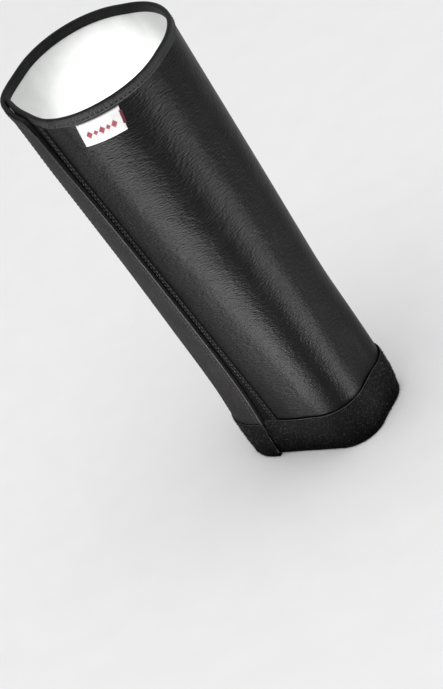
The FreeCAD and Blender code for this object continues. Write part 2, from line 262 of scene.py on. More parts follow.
def flap_dip(to_edge, share, height):
    """How far the flap's mouth end hangs below the mouth, with its corner rounded off."""
    dip = FLAP_DIP * smooth(share * 1.4 - 0.1)
    if to_edge < FLAP_CORNER:
        dip += FLAP_CORNER - math.sqrt(FLAP_CORNER ** 2 - (FLAP_CORNER - max(to_edge, 0.0)) ** 2)
    return dip * (height / LENGTH) ** 4


class Flap:
    """A place on the flap: a share of the way from its fold to its free edge, less a run back."""

    def __init__(self, share, back=0.0):
        self.share = share
        self.back = back

    def core(self, height):
        width = flap_width(height)
        run = width * self.share - self.back
        height -= flap_dip(width - run - HEM, run / width, height)
        point, normal = leaf_point("front_left_outer", run, height)
        point -= normal * FLAP_PRESS * smooth(run / width * 1.2 - 0.2)
        return point, normal


class InnerLeaf:
    """A place on the inner leaf, by its run back from the loop strip's visible edge."""

    def __init__(self, back):
        self.back = back

    def core(self, height):
        edge_x = LOOP_EDGE_BASE_X + LOOP_EDGE_LEAN * height - LOOP_EDGE_CURL * (height / LENGTH) ** 10
        run = run_to_x("front_left_inner", edge_x, height) - self.back
        return leaf_point("front_left_inner", run, height)


def place(station, height, offset):
    """The point of the wall at a station, a height and an offset."""
    core, normal = station.core(height)
    return core + settle(core) + normal * (offset + ripple(core))


# ---- Courses ----
# The stations of each stretch of the sheet, from one panel's middle to the next
# one's, across one fold.
TURN_STEP = 2.5
FLAT_STEPS = 7
FLAP_STEPS = 34


def spaced(start, end, steps):
    return [mix(start, end, number / steps) for number in range(steps + 1)]


def close_ended(places):
    """Adds a place very near each end, so that neighbours shade alike where they meet."""
    first = mix(places[0], places[1], 0.06)
    last = mix(places[-1], places[-2], 0.06)
    return [places[0], first, *places[1:-1], last, places[-1]]


def arc(corner, start, end):
    steps = max(2, math.ceil((end - start) / TURN_STEP))
    return [Arc(corner, angle) for angle in close_ended(spaced(start, end, steps))]


def flat(first, last, angle, start, end):
    shares = close_ended(spaced(start, end, FLAT_STEPS))
    return [Flat(first, last, angle, share) for share in shares]


def joined(*stretches):
    """Stretches in a row, without their shared stations."""
    stations = list(stretches[0])
    for stretch in stretches[1:]:
        stations.extend(stretch[1:])
    return stations


def flap_course(inset):
    """Stations over the flap, closer together towards its free edge."""
    shares = [1 - (1 - share) ** 1.4 for share in close_ended(spaced(0.0, 1.0, FLAP_STEPS))]
    return [Flap(share, inset * share) for share in shares]


def inner_course(start):
    """The inner leaf, from an angle near its hidden edge to the middle of the front."""
    return joined(arc("front_left_inner", start, FRONT_TURN),
                  flat("front_left_inner", "front_right", FRONT_TURN, 0, 0.5))


def outer_course(inset):
    """From the middle of the left face to the flap's free edge, or short of it by an inset."""
    return joined(flat("back_left", "front_left_outer", 180, 0.5, 1),
                  arc("front_left_outer", 180, FIRST_FOLD), flap_course(inset))


class Fold:
    """One fold of the sheet: the joint that opens it and the course across it."""

    def __init__(self, joint, angle, course):
        self.joint = [item for item in frame["joints"] if item["name"] == joint][0]
        self.name = joint
        self.parent = self.joint["parent"]
        self.child = self.joint["child"]
        self.angle = angle
        self.course = course
        self.layer_course = course
        self.start_run = 0.0


FOLDS = [
    Fold("fold_inner", 247.5, inner_course(202.8)),
    Fold("fold_front", 280, joined(
        flat("front_left_inner", "front_right", 270, 0.5, 1), arc("front_right", 270, 302.5))),
    Fold("fold_right_front", 325, joined(
        arc("front_right", 302.5, 360), flat("front_right", "back_right", 0, 0, 0.5))),
    Fold("fold_right_back", 22.5, joined(
        flat("front_right", "back_right", 0, 0.5, 1), arc("back_right", 0, 45))),
    Fold("fold_back_start", 67.5, joined(
        arc("back_right", 45, 90), flat("back_right", "back_left", 90, 0, 0.5))),
    Fold("fold_back_end", 112.5, joined(
        flat("back_right", "back_left", 90, 0.5, 1), arc("back_left", 90, 135))),
    Fold("unroll", 157.5, joined(
        arc("back_left", 135, 180), flat("back_left", "front_left_outer", 180, 0, 0.5))),
    Fold("flap_peel", 202.5, outer_course(0.0)),
]
FLAP_FOLD = FOLDS[-1]
INNER_FOLD = FOLDS[0]

# The sheet's layers stop short of its two ends, where a tape is folded over them.
INNER_FOLD.layer_course = inner_course(210)
FLAP_FOLD.layer_course = outer_course(FLAP_LAYER_INSET)


def runs_along(stations, height):
    """Distance of each station from the first, along the wall at a height."""
    runs = [0.0]
    for first, second in zip(stations, stations[1:]):
        step = second.core(height)[0] - first.core(height)[0]
        runs.append(runs[-1] + step.length)
    return runs


for fold_before, fold_after in zip(FOLDS, FOLDS[1:]):
    fold_after.start_run = fold_before.start_run + runs_along(fold_before.course, LENGTH / 2)[-1]


def bend(piece):
    """Bakes the piece's placement into its mesh."""
    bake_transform(piece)


# ---- Materials ----
class Material:
    """A node material: uniform values sit on the shader, the rest in nodes."""

    def __init__(self, name, **values):
        self.material = bpy.data.materials.new(name)
        self.material.use_nodes = True
        self.tree = self.material.node_tree
        self.shader = self.tree.nodes["Principled BSDF"]
        for socket, value in values.items():
            self.shader.inputs[socket.replace("_", " ")].default_value = value

    def node(self, kind, **settings):
        """Adds a node. Keys that name a socket set or link it; the others are settings."""
        node = self.tree.nodes.new(f"ShaderNode{kind}")
        for key, value in settings.items():
            if hasattr(node, key):
                setattr(node, key, value)
        for key, value in settings.items():
            if hasattr(node, key):
                continue
            socket = node.inputs[int(key[1:])] if key[1:].isdigit() else node.inputs[key.replace("_", " ")]
            self.give(socket, value)
        return node

    def give(self, socket, value):
        if isinstance(value, bpy.types.NodeSocket):
            self.tree.links.new(value, socket)
        else:
            socket.default_value = value

    def maths(self, operation, first, second=0.0):
        return self.node("Math", operation=operation, _0=first, _1=second).outputs[0]

    def coordinates(self, kind="Object"):
        return self.node("TexCoord").outputs[kind]

    def stretched(self, coordinates, scale):
        return self.node("Mapping", Vector=coordinates, Scale=scale).outputs["Vector"]

    def noise(self, coordinates, scale, detail=3.0):
        node = self.node("TexNoise", Vector=coordinates, Scale=scale, Detail=detail)
        return node.outputs["Fac"]

    def ramp(self, factor, stops):
        """A colour ramp; stops is a list of (position, colour)."""
        node = self.node("ValToRGB", Fac=factor)
        elements = node.color_ramp.elements
        while len(elements) < len(stops):
            elements.new(1.0)
        for element, (position, colour) in zip(elements, stops):
            element.position = position
            element.color = (*colour, 1.0)
        return node.outputs["Color"]

    def range(self, value, low, high):
        node = self.node("MapRange", Value=value)
        node.inputs["To Min"].default_value = low
        node.inputs["To Max"].default_value = high
        return node.outputs["Result"]

    def bump(self, height, distance, strength=1.0):
        node = self.node("Bump", Height=height, Distance=distance, Strength=strength)
        self.tree.links.new(node.outputs["Normal"], self.shader.inputs["Normal"])

    def surface(self, colour, roughness):
        self.give(self.shader.inputs["Base Color"], colour)
        self.give(self.shader.inputs["Roughness"], roughness)
        return self.material


def grey(value):
    return value, value, value


def leather_material():
    """Pebbled synthetic leather, its grain drawn out round the tube."""
    m = Material("black_leather", Specular_IOR_Level=0.058)
    where = m.coordinates()
    run = m.coordinates("UV")
    streaks = m.noise(m.stretched(run, (290.0, 1100.0, 1.0)), 1.0, 2.0)
    drawn = m.stretched(run, (560.0, 900.0, 1.0))
    pebbles = m.node("TexVoronoi", feature="SMOOTH_F1", Vector=drawn, Scale=1.0, Smoothness=0.4)
    slow = m.noise(where, 55.0)
    height = m.maths("MULTIPLY", streaks, 1.1)
    height = m.maths("SUBTRACT", height, m.maths("MULTIPLY", pebbles.outputs["Distance"], 0.4))
    height = m.maths("ADD", height, m.maths("MULTIPLY", slow, 1.5))
    m.bump(height, 0.42 * MM)
    wear = m.noise(where, 45.0, 5.0)
    colour = m.ramp(wear, [(0.25, (0.0015, 0.0015, 0.0017)), (0.8, (0.0029, 0.0029, 0.0033))])
    rough = m.range(m.noise(where, 160.0, 4.0), 0.33, 0.42)
    return m.surface(colour, rough)


def woven(name, warp, colour_low, colour_high, roughness, depth, **values):
    """A tape or cloth of crossing threads along the piece's own two directions."""
    m = Material(name, **values)
    where = m.coordinates("UV")
    split = m.node("SeparateXYZ", Vector=where)
    across = m.maths("SINE", m.maths("MULTIPLY", split.outputs["X"], 2 * math.pi / warp[0]))
    along = m.maths("SINE", m.maths("MULTIPLY", split.outputs["Y"], 2 * math.pi / warp[1]))
    threads = m.maths("ADD", m.maths("MULTIPLY", across, 0.5), m.maths("MULTIPLY", along, 0.5))
    fuzz = m.noise(m.coordinates(), 1800.0)
    height = m.maths("ADD", threads, m.maths("MULTIPLY", fuzz, 0.8))
    m.bump(height, depth)
    shade = m.maths("ADD", m.maths("MULTIPLY", threads, 0.22), m.noise(m.coordinates(), 90.0, 5.0))
    colour = m.ramp(shade, [(0.15, colour_low), (0.85, colour_high)])
    rough = m.range(fuzz, roughness - 0.06, min(1.0, roughness + 0.08))
    return m.surface(colour, rough)


def pile_material(name, low, high, scale):
    """Brushed loops: clumps over fine curls."""
    m = Material(name, Specular_IOR_Level=0.04)
    where = m.coordinates()
    curls = m.node("TexVoronoi", Vector=where, Scale=scale)
    clumps = m.noise(where, scale * 0.35, 5.0)
    height = m.maths("ADD", curls.outputs["Distance"], clumps)
    m.bump(height, 0.5 * MM)
    shade = m.maths("MULTIPLY", curls.outputs["Distance"], 0.5)
    shade = m.maths("ADD", shade, m.maths("MULTIPLY", clumps, 0.6))
    return m.surface(m.ramp(shade, [(0.2, low), (0.75, high)]), m.range(clumps, 0.8, 1.0))


def thread_material(name, low, high):
    """Twisted sewing thread."""
    m = Material(name, Specular_IOR_Level=0.2)
    where = m.coordinates()
    twist = m.node("TexWave", Vector=where, Scale=1500.0, Distortion=2.0, bands_direction="DIAGONAL")
    m.bump(twist.outputs["Fac"], 0.06 * MM, 0.8)
    colour = m.ramp(twist.outputs["Fac"], [(0.1, low), (0.9, high)])
    return m.surface(colour, m.range(m.noise(where, 900.0), 0.5, 0.7))


def fibre_material():
    """The band's single fibres, lighter in small clumps where they catch the light."""
    m = Material("pile_fibre", Specular_IOR_Level=0.25)
    where = m.coordinates()
    clumps = m.noise(where, 620.0)
    m.bump(m.noise(where, 2400.0, 1.0), 0.05 * MM, 0.6)
    colour = m.ramp(clumps, [(0.42, grey(0.0007)), (0.66, (0.062, 0.062, 0.0625))])
    return m.surface(colour, m.range(clumps, 0.65, 0.45))


def foam_material():
    """Closed-cell foam sheet."""
    m = Material("foam_core", Specular_IOR_Level=0.2)
    where = m.coordinates()
    cells = m.node("TexVoronoi", Vector=where, Scale=1400.0)
    m.bump(cells.outputs["Distance"], 0.2 * MM, 0.7)
    colour = m.ramp(cells.outputs["Distance"], [(0.1, (0.05, 0.05, 0.052)), (0.7, (0.09, 0.09, 0.092))])
    return m.surface(colour, m.range(m.noise(where, 300.0), 0.8, 0.95))


def metal_material():
    """Soft aluminium strip, rolled along its length."""
    m = Material("aluminium_stay", Metallic=1.0)
    where = m.coordinates()
    rolled = m.noise(m.stretched(where, (3000.0, 3000.0, 40.0)), 1.0, 3.0)
    m.bump(rolled, 0.03 * MM, 0.6)
    colour = m.ramp(rolled, [(0.3, (0.62, 0.62, 0.63)), (0.7, (0.74, 0.74, 0.75))])
    return m.surface(colour, m.range(rolled, 0.32, 0.46))


def floor_material():
    """Matt pale board with a hardly visible grain."""
    m = Material("pale_floor", Specular_IOR_Level=0.1)
    grain = m.noise(m.coordinates(), 35.0, 4.0)
    m.bump(grain, 0.05 * MM, 0.2)
    colour = m.ramp(grain, [(0.3, grey(0.86)), (0.7, grey(0.88))])
    return m.surface(colour, m.range(grain, 0.7, 0.8))


LEATHER = leather_material()
LINING = woven("white_nylon", (0.55 * MM, 0.55 * MM), (0.8, 0.81, 0.8), (0.93, 0.935, 0.93), 0.5, 0.05 * MM,
               Specular_IOR_Level=0.45)
BINDING = woven("ribbed_binding", (1.1 * MM, 0.5 * MM), (0.005, 0.005, 0.0052), (0.018, 0.018, 0.0185), 0.55,
                0.2 * MM, Specular_IOR_Level=0.15)
EDGE_TAPE = woven("edge_tape", (2.4 * MM, 0.8 * MM), (0.0036, 0.0033, 0.0033), (0.0085, 0.0078, 0.0078), 0.58,
                  0.12 * MM, Specular_IOR_Level=0.075)
PILE = pile_material("pile_band", grey(0.0004), (0.0042, 0.0042, 0.0043), 700.0)
LOOPS = pile_material("loop_strip", grey(0.0004), grey(0.0028), 1100.0)
HOOKS = pile_material("hook_strip", grey(0.006), grey(0.016), 1500.0)
FIBRE = fibre_material()
THREAD = thread_material("black_thread", grey(0.005), (0.019, 0.019, 0.0195))
# Lighter grey for the raised line on the flap tape's fold: a painted highlight of the fold.
FOLD_HIGHLIGHT_GREY = thread_material("painted_fold_highlight_grey", grey(0.007), (0.024, 0.024, 0.0245))
LABEL = woven("satin_label", (0.7 * MM, 0.5 * MM), (0.28, 0.28, 0.276), (0.42, 0.42, 0.412), 0.55, 0.1 * MM,
              Specular_IOR_Level=0.3)
LABEL_THREAD = thread_material("white_thread", (0.27, 0.27, 0.266), (0.42, 0.42, 0.412))
RED_THREAD = thread_material("red_thread", (0.13, 0.022, 0.034), (0.23, 0.045, 0.062))
TACK_THREAD = thread_material("dark_red_thread", (0.045, 0.003, 0.008), (0.12, 0.008, 0.02))
FOAM = foam_material()
METAL = metal_material()


# ---- Mesh helpers ----
def new_object(name, data):
    item = bpy.data.objects.new(name, data)
    bpy.context.scene.collection.objects.link(item)
    return item


def new_piece(name, points, faces, uvs, material):
    mesh = bpy.data.meshes.new(name)
    mesh.from_pydata(points, [], faces)
    layer = mesh.uv_layers.new(name="run_and_height")
    for loop in mesh.loops:
        layer.data[loop.index].uv = uvs[loop.vertex_index]
    for polygon in mesh.polygons:
        polygon.use_smooth = True
    mesh.materials.append(material)
    mesh.update()
    return new_object(name, mesh)


class Grid:
    """Collects sheets of points laid out in columns and rows into one mesh."""

    def __init__(self):
        self.points = []
        self.faces = []
        self.uvs = []
        self.ends = set()

    def add(self, columns, uvs, closed=False):
        """columns is a list of equally long lists of points.

        closed joins each column's last point to its first and covers both ends."""
        start = len(self.points)
        rows = len(columns[0])
        for column, places in zip(columns, uvs):
            self.points.extend(column)
            self.uvs.extend(places)
        last_row = rows if closed else rows - 1
        for column in range(len(columns) - 1):
            for row in range(last_row):
                a = start + column * rows + row
                b = start + column * rows + (row + 1) % rows
                self.faces.append((a, a + rows, b + rows, b))
        if closed:
            self.cover_end(start, rows, False)
            self.cover_end(start + (len(columns) - 1) * rows, rows, True)

    def cover_end(self, start, rows, flip):
        """A ladder of faces between the two sides of a closed column."""
        for row in range(rows // 2 - 1):
            a, b = start + row, start + row + 1
            c, d = start + rows - 2 - row, start + rows - 1 - row
            self.ends.add(len(self.faces))
            self.faces.append((a, d, c, b) if flip else (a, b, c, d))

    def piece(self, name, material):
        piece = new_piece(name, self.points, self.faces, self.uvs, material)
        for number in self.ends:
            piece.data.polygons[number].use_smooth = False
        return piece


def swept(name, stations, start_run, profile, material, closed=False):
    """A profile of (offset, height) points carried along the stations.

    profile is a function of the station that gives the list of points."""
    grid = Grid()
    columns, uvs = [], []
    for station, distance in zip(stations, runs_along(stations, LENGTH / 2)):
        run = start_run + distance
        points = profile(station)
        columns.append([place(station, height, offset) for offset, height in points])
        travel = 0.0
        places = []
        for number, (offset, height) in enumerate(points):
            if number:
                before = points[number - 1]
                travel += math.hypot(offset - before[0], height - before[1])
            places.append((run, travel))
        uvs.append(places)
    grid.add(columns, uvs, closed)
    return grid.piece(name, material)


def capsule(points, faces, uvs, centre, along, across, out, length, width, rise):
    """Adds one stitch: a small rounded bar on the surface.

    A ring is its place along the stitch and its swell, as shares of the whole."""
    start = len(points)
    rings = [(-0.5, 0.35), (-0.36, 0.85), (0.0, 1.0), (0.36, 0.85), (0.5, 0.35)]
    sides = 6
    for shift, swell in rings:
        sink = abs(shift) * 2
        for side in range(sides):
            turn = 2 * math.pi * side / sides
            point = centre + along * (shift * length)
            point = point + across * (math.cos(turn) * width / 2 * swell)
            point = point + out * (math.sin(turn) * rise * swell + rise * (0.35 - 0.9 * sink ** 3))
            points.append(point)
            uvs.append((shift * length, side * width / sides))
    for ring in range(len(rings) - 1):
        for side in range(sides):
            a = start + ring * sides + side
            b = start + ring * sides + (side + 1) % sides
            faces.append((a, b, b + sides, a + sides))
    faces.append(tuple(start + side for side in reversed(range(sides))))
    last = start + (len(rings) - 1) * sides
    faces.append(tuple(last + side for side in range(sides)))


def stitches(name, path, material, pitch=3.3 * MM, length=2.5 * MM, width=0.5 * MM, rise=0.22 * MM):
    """A row of stitches along a path of (point, outward normal) pairs."""
    points, faces, uvs = [], [], []
    travel = 0.0
    due = pitch / 2
    for (first, normal), (second, _) in zip(path, path[1:]):
        step = second - first
        while due <= travel + step.length:
            along = step.normalized()
            across = normal.cross(along).normalized()
            centre = first + along * (due - travel)
            capsule(points, faces, uvs, centre, along, across, normal, length, width, rise)
            due += pitch
        travel += step.length
    return new_piece(name, points, faces, uvs, material)


def girth_path(stations, height, offset):
    """A path round the wall at one height."""
    return [(place(station, height, offset), station.core(height)[1]) for station in stations]


def upright_path(station, low, high, offset, steps=60):
    """A path up the wall at one station."""
    heights = spaced(low, high, steps)
    return [(place(station, height, offset), station.core(height)[1]) for height in heights]


# ---- The laminated sheet ----
ROWS = 64


def layer_piece(layer, fold, outer, inner, material):
    """One stretch of a layer, with both faces and its two level edges."""
    heights = spaced(HEM, LENGTH - HEM, ROWS)
    profile = [(outer, height) for height in heights]
    profile += [(inner, height) for height in reversed(heights)]
    return swept(f"{layer}_{fold.name}", fold.layer_course, fold.start_run, lambda station: profile,
                 material, closed=True)


def sheet_size(stations):
    """Flat size, as (width, length), and area of a stretch of sheet."""
    base = runs_along(stations, 0.0)[-1]
    mouth = runs_along(stations, LENGTH)[-1]
    return (max(base, mouth), LENGTH), (base + mouth) / 2 * LENGTH


def make_sheet():
    layers = [
        ("skin", SKIN_FACE, SKIN_BACK, LEATHER),
        ("core", SKIN_BACK - 0.03 * MM, LINING_BACK + 0.03 * MM, FOAM),
        ("lining", LINING_BACK, LINING_FACE, LINING),
    ]
    for layer, outer, inner, material in layers:
        for fold in FOLDS:
            piece = layer_piece(layer, fold, outer, inner, material)
            bend(piece)
            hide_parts(f"{layer}_{fold.parent}", f"{layer}_{fold.child}")
            flat_size, area = sheet_size(fold.layer_course)


# ---- Mouth binding and base band ----
def binding_profile(station):
    """Round-edged tape folded over the mouth's edge, from its outer to its inner hem."""
    top = LENGTH
    bottom = BINDING_LOW
    face = BINDING_FACE
    back = -BINDING_INNER
    if isinstance(station, Arc) and station.corner == "front_left_inner":
        # thinner on its inner side where the inner leaf ends
        back = mix(-0.1 * MM, back, smooth((station.angle - FIRST_FOLD) / 7))
    return [
        (SKIN_FACE + 0.05 * MM, bottom),
        (face - 0.2 * MM, bottom + 0.02 * MM),
        (face, bottom + 0.3 * MM),
        (face + 0.05 * MM, bottom + 3 * MM),
        (face + 0.05 * MM, top - 3 * MM),
        (face, top - 1.6 * MM),
        (face - 0.35 * MM, top - 0.6 * MM),
        (face - 1.0 * MM, top - 0.12 * MM),
        (0.25 * MM, top),
        (back + 1.0 * MM, top - 0.12 * MM),
        (back + 0.35 * MM, top - 0.6 * MM),
        (back, top - 1.6 * MM),
        (back, top - 4 * MM),
        (back, bottom + 0.4 * MM),
        (back + 0.2 * MM, bottom + 0.1 * MM),
        (max(LINING_FACE, back) + 0.05 * MM, bottom),
    ]


def make_mouth_binding():
    for fold in FOLDS:
        piece = swept(f"mouth_binding_{fold.name}", fold.course, fold.start_run, binding_profile, BINDING)
        bend(piece)
        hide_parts(f"mouth_binding_{fold.parent}", f"mouth_binding_{fold.child}")
        seam = girth_path(fold.course, BINDING_LOW + 1.3 * MM, BINDING_FACE + 0.06 * MM)
        row = stitches(f"binding_stitches_{fold.name}", seam, THREAD)
        bend(row)
        runs_along(fold.course, LENGTH)[-1]


def band_profile(inner_leg):
    """Thick pile on the outside, turned under the edge at the flash end."""
    heights = spaced(1.4 * MM, BAND_HEIGHT - 1.2 * MM, 40)
    points = [
        (SKIN_FACE + 0.05 * MM, BAND_HEIGHT),
        (BAND_FACE - 0.7 * MM, BAND_HEIGHT - 0.05 * MM),
        (BAND_FACE - 0.2 * MM, BAND_HEIGHT - 0.5 * MM),
    ]
    points += [(BAND_FACE, height) for height in reversed(heights)]
    points += [
        (BAND_FACE - 0.3 * MM, 0.5 * MM),
        (BAND_FACE - 1.0 * MM, 0.05 * MM),
        (0.5 * MM, 0.0),
    ]
    if inner_leg:
        points += [
            (-BAND_INNER + 0.5 * MM, 0.05 * MM),
            (-BAND_INNER, 0.6 * MM),
            (-BAND_INNER, BAND_HEIGHT / 2),
            (-BAND_INNER, BAND_HEIGHT - 0.4 * MM),
            (LINING_FACE - 0.05 * MM, BAND_HEIGHT),
        ]
    else:
        points += [(LINING_FACE + 0.1 * MM, 0.05 * MM), (LINING_FACE, 0.5 * MM)]
    return points


def round_bar(offset, height, radius, sides=8):
    """The closed profile of a thin round edge line."""
    turns = [2 * math.pi * side / sides for side in range(sides)]
    return [(offset + radius * math.cos(turn), height + radius * math.sin(turn)) for turn in turns]


class Between:
    """A station part of the way between two others."""

    def __init__(self, first, second, share):
        self.first = first
        self.second = second
        self.share = share

    def core(self, height):
        start, normal_start = self.first.core(height)
        end, normal_end = self.second.core(height)
        return mix(start, end, self.share), mix(normal_start, normal_end, self.share).normalized()


def add_fibres(fold, seed):
    """Short curled fibres that stand on the band."""
    dice = random.Random(seed)
    points, faces, uvs = [], [], []
    runs = runs_along(fold.course, BAND_HEIGHT / 2)
    count = int(runs[-1] * BAND_HEIGHT / (MM * MM) * FIBRES_PER_MM2)
    for _ in range(count):
        spot = dice.random() * runs[-1]
        index = min(bisect.bisect(runs, spot), len(runs) - 1)
        share = (spot - runs[index - 1]) / (runs[index] - runs[index - 1])
        station = Between(fold.course[index - 1], fold.course[index], share)
        height = dice.uniform(0.3 * MM, BAND_HEIGHT - 0.4 * MM)
        root = place(station, height, BAND_FACE - 0.15 * MM)
        out = station.core(height)[1]
        lean = Vector([dice.uniform(-1, 1) for _ in range(3)])
        lean -= out * lean.dot(out)
        length = dice.uniform(0.8, 1.9) * MM
        # it rises from its root and then curls over to one side
        middle = root + (out * 0.62 + lean * 0.45) * length * 0.6
        tip = middle + (out * 0.1 + lean * 0.7) * length * 0.6
        add_hair(points, faces, uvs, [root, middle, tip], FIBRE_RADIUS)
    return new_piece(f"band_fibres_{fold.name}", points, faces, uvs, FIBRE)


def add_hair(points, faces, uvs, line, radius):
    """Adds a three-sided tapering fibre along a line of three points."""
    start = len(points)
    along = (line[2] - line[0]).normalized()
    side = along.orthogonal().normalized()
    other = along.cross(side)
    for number, swell in ((0, 1.0), (1, 0.8)):
        for corner in range(3):
            turn = 2 * math.pi * corner / 3
            points.append(line[number] + (side * math.cos(turn) + other * math.sin(turn)) * radius * swell)
            uvs.append((corner * radius, number * MM))
    points.append(line[2])
    uvs.append((0.0, 2 * MM))
    for corner in range(3):
        a = start + corner
        b = start + (corner + 1) % 3
        faces.append((a, b, b + 3, a + 3))
        faces.append((a + 3, b + 3, start + 6))


def make_base_band():
    for number, fold in enumerate(FOLDS):
        profile = band_profile(fold is not FLAP_FOLD)
        piece = swept(f"base_band_{fold.name}", fold.course, fold.start_run, lambda station: profile, PILE)
        bend(piece)
        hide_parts(f"base_band_{fold.parent}", f"base_band_{fold.child}")
        fibres = add_fibres(fold, 40 + number)
        bend(fibres)
        rim = round_bar(BAND_FACE - 0.35 * MM, BAND_HEIGHT, 0.3 * MM)
        edge = swept(f"band_selvedge_{fold.name}", fold.course, fold.start_run, lambda station: rim, THREAD,
                     closed=True)
        bend(edge)
        runs_along(fold.course, BAND_HEIGHT / 2)[-1]


# ---- Closure: edge tapes, loop strip, hook strip ----
def upright_piece(name, across, heights, material, lift=lambda height: 0.0):
    """A strip that runs up the wall.

    across is a list of (station, offset) pairs, from one edge round to the other, and
    lift moves both faces apart at some heights."""
    grid = Grid()
    middle = heights[len(heights) // 2]
    columns, uvs = [], []
    travel = 0.0
    for number, (station, offset) in enumerate(across):
        if number:
            before, before_offset = across[number - 1]
            travel += (place(station, middle, offset) - place(before, middle, before_offset)).length
        columns.append([place(station, height, offset + math.copysign(lift(height), offset))
                        for height in heights])
        uvs.append([(travel, height) for height in heights])
    grid.add(columns, uvs)
    return grid.piece(name, material)


def over_binding(height):
    """How much further out the flap's tape lies where it runs over the mouth binding."""
    up = smooth((height - LENGTH + BINDING_WIDTH + 1.5 * MM) / (1.5 * MM))
    over = smooth((height - LENGTH + 2 * MM) / (1.5 * MM))
    return 0.35 * MM * up - 0.6 * MM * over


def make_flap_tape():
    """Wide tape on the flap, turned over its free edge and run up over the mouth binding."""
    low = BAND_HEIGHT - 1 * MM
    high = LENGTH - 0.5 * MM
    heights = spaced(low, BINDING_LOW - 2 * MM, 64) + spaced(BINDING_LOW - 1 * MM, high, 16)
    face = BINDING_FACE - 0.1 * MM
    turned_in = 6 * MM
    across = [(Flap(1.0, TAPE_WIDTH), SKIN_FACE), (Flap(1.0, TAPE_WIDTH - 0.1 * MM), face - 0.15 * MM)]
    for back in spaced(TAPE_WIDTH - 0.4 * MM, 1.2 * MM, 16):
        across.append((Flap(1.0, back), face))
    for back, offset in ((0.5 * MM, face - 0.15 * MM), (0.1 * MM, face - 0.6 * MM), (-0.1 * MM, 0.5 * MM),
                         (-0.1 * MM, -0.6 * MM), (0.1 * MM, -1.1 * MM), (0.6 * MM, -1.3 * MM),
                         (3.0 * MM, -1.35 * MM), (turned_in, -1.25 * MM)):
        across.append((Flap(1.0, back), offset))
    tape = upright_piece("flap_edge_tape_skin", across, heights, EDGE_TAPE, over_binding)
    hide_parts("flap_edge_tape")
    # A thin raised line along the tape's fold at the flap's free edge. It is real relief, and its grey,
    # lighter than the tape, is a painted highlight of the fold.
    welt = [(Flap(1.0, 0.5 * MM + 0.5 * MM * math.cos(turn)), face + 0.15 * MM + 0.35 * MM * math.sin(turn))
            for turn in (math.pi * step / 6 for step in range(7))]
    line = upright_piece("flap_edge_line", welt, spaced(7 * MM, low, 6) + heights[1:], FOLD_HIGHLIGHT_GREY, over_binding)
    rows = []
    for number, back in enumerate((3.4 * MM, TAPE_WIDTH - 1.5 * MM)):
        seam = upright_path(Flap(1.0, back), low + 2 * MM, BINDING_LOW - 3 * MM, face)
        rows.append(stitches(f"flap_tape_stitches_{number}", seam, THREAD))
    for piece in (tape, line, *rows):
        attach(piece, "flap")


def make_loop_strip():
    """Loop strip on the inner leaf, sewn twice along its visible edge."""
    low = BAND_HEIGHT - 1 * MM
    high = BINDING_LOW + 0.5 * MM
    width = 34 * MM
    face = 2.1 * MM
    across = [(InnerLeaf(width), SKIN_FACE), (InnerLeaf(width - 0.3 * MM), face)]
    for back in spaced(width - 0.6 * MM, 0.6 * MM, 24):
        across.append((InnerLeaf(back), face))
    across += [(InnerLeaf(0.15 * MM), face - 0.2 * MM), (InnerLeaf(0.0), SKIN_FACE)]
    strip = upright_piece("closure_loop_strip", across, spaced(low, high, 80), LOOPS)
    bend(strip)
    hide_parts("closure_loop_strip_front", "closure_loop_strip_inner")
    rows = []
    for number, back in enumerate((1.3 * MM, 3.4 * MM)):
        seam = upright_path(InnerLeaf(back), low + 1 * MM, high - 1 * MM, face)
        rows.append(stitches(f"loop_strip_stitches_{number}", seam, THREAD))
        bend(rows[-1])


def make_inner_tape():
    """Narrow tape over the inner leaf's hidden edge."""
    outer_hem, inner_hem = 214.0, 212.0
    outer_face, inner_face = 1.7 * MM, -1.1 * MM
    low, high = HEM, BINDING_LOW + 1 * MM
    across = []
    for angle, offset in ((outer_hem, SKIN_FACE), (213.8, 1.65 * MM), (210.0, outer_face),
                          (203.6, outer_face), (202.9, 1.4 * MM), (202.6, 0.6 * MM), (202.6, -0.6 * MM),
                          (203.2, inner_face), (207.0, inner_face), (inner_hem, inner_face)):
        across.append((Arc("front_left_inner", angle), offset))
    tape = upright_piece("inner_edge_tape_skin", across, spaced(low, high, 64), EDGE_TAPE)
    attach(tape, "inner_end")
    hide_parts("inner_edge_tape")
    radius = corner_at("front_left_inner", LENGTH / 2)[2]


def make_hook_strip():
    """Hook tape on the flap's inner face."""
    width = 24 * MM
    start = 7 * MM
    back_face = LINING_FACE - 0.05 * MM
    hook_face = -1.25 * MM
    across = [(Flap(1.0, start), back_face)]
    for back in spaced(start + 0.1 * MM, start + width, 18):
        across.append((Flap(1.0, back), hook_face))
    across.append((Flap(1.0, start + width + 0.1 * MM), back_face))
    low, high = 6 * MM, BINDING_LOW - 3 * MM
    strip = upright_piece("closure_hook_tape", across, spaced(low, high, 64), HOOKS)
    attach(strip, "flap")
    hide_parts("closure_hook_strip")


# ---- Label ----
def label_place(share_across, share_up, offset):
    """A point on the label, by shares of its width and height from its lower left corner."""
    top = BINDING_LOW - 0.9 * MM
    angle = mix(LABEL_SPAN[0], LABEL_SPAN[1], share_across) - LABEL_LEAN * (1 - share_up)
    height = top - LABEL_HEIGHT * (1 - share_up)
    return place(Arc("front_right", angle), height, offset)


